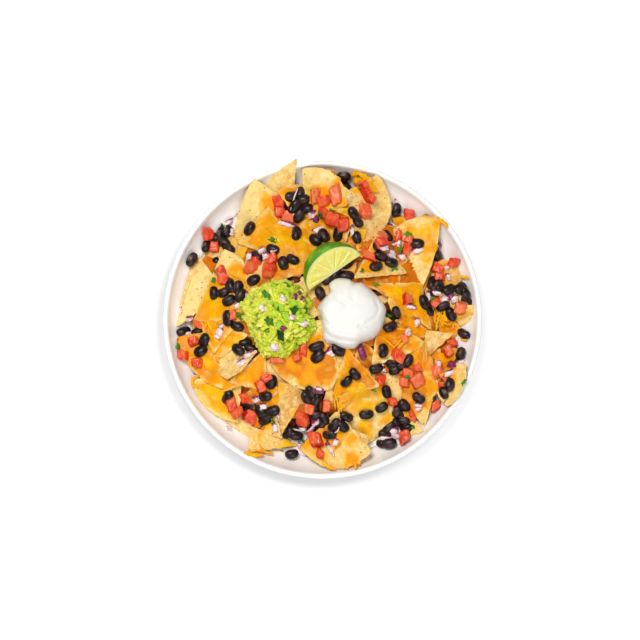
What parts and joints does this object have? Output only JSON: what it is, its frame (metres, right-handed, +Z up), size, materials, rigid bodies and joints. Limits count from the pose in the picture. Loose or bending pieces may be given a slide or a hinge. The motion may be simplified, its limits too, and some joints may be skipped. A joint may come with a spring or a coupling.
{
  "type": "plate of nachos",
  "caption": "Loaded nachos heaped on a round white plate, topped with guacamole, sour cream and a lime wedge.",
  "frame": {"origin": "centre of the bounding box at its bottom, which is the centre of the plate's foot ring on the table", "axes": "+Z up; +Y to the far side of the plate as the picture shows it, +X to its right"},
  "size_m": [0.27, 0.27, 0.0633],
  "materials": {
    "plate": "glossy white glaze",
    "nachos": "fried corn chips under melted cheese",
    "guacamole": "moist and lumpy",
    "sour_cream": "smooth and slightly glossy",
    "lime": "waxy rind and wet flesh",
    "bean": "satin skin",
    "tomato": "wet",
    "onion": "moist"
  },
  "bodies": {
    "root": {"plate": "plate", "nacho_heap": "nachos", "guacamole": "guacamole", "sour_cream": "sour_cream", "lime_wedge": "lime", "bean_north": "bean", "bean_south": "bean", "bean_east": "bean", "bean_west": "bean", "bean_northwest": "bean", "bean_northeast": "bean", "bean_southeast": "bean", "tomato_northwest": "tomato", "tomato_north": "tomato", "tomato_northeast": "tomato", "tomato_west": "tomato", "tomato_southeast": "tomato", "onion_northeast": "onion"}
  },
  "joints": []
}
